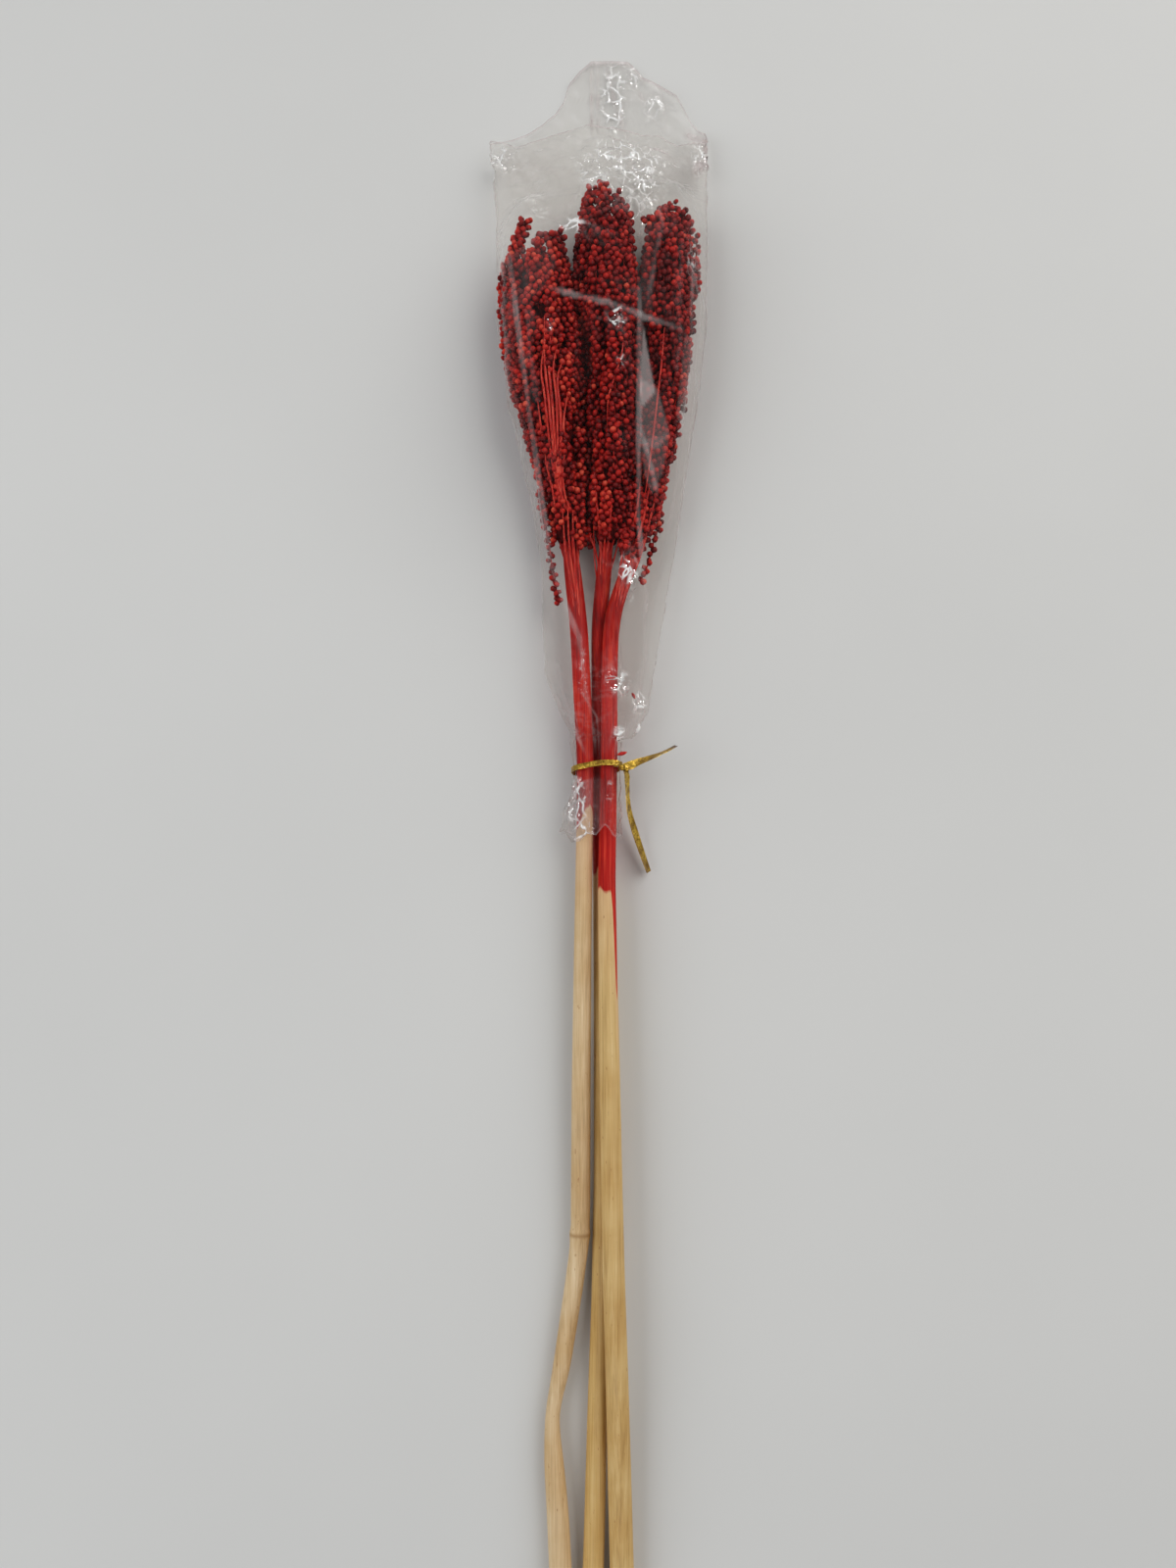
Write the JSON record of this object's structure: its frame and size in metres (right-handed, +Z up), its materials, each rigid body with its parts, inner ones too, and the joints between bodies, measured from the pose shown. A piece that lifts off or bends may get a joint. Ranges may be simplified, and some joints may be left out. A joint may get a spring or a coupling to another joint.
{
  "type": "dyed sorghum bunch in a clear sleeve",
  "caption": "Bunch of dried, red-dyed sorghum seed heads on long straw-coloured stalks, lying flat in a clear film sleeve tied at the neck with a gold twist tie.",
  "frame": {"origin": "on the surface that the bunch lies on, under the twist tie, at the middle of the bunch's length", "axes": "+Y along the bunch towards the seed heads, +Z up from the surface, +X to the right as seen from above with the heads at the top"},
  "size_m": [0.112, 0.7546, 0.0382],
  "materials": {
    "dyed_sorghum": "matt dyed grain with a faint sheen",
    "bare_stalk": "dry straw, satin",
    "clear_film": "clear, glossy and creased",
    "gold_foil": "shiny gold foil"
  },
  "bodies": {
    "root": {"head_left": "dyed_sorghum", "head_middle": "dyed_sorghum", "head_right": "dyed_sorghum", "stalk_left": "bare_stalk", "stalk_middle": "bare_stalk", "stalk_right": "bare_stalk", "film_sleeve": "clear_film", "twist_tie": "gold_foil"}
  },
  "joints": []
}
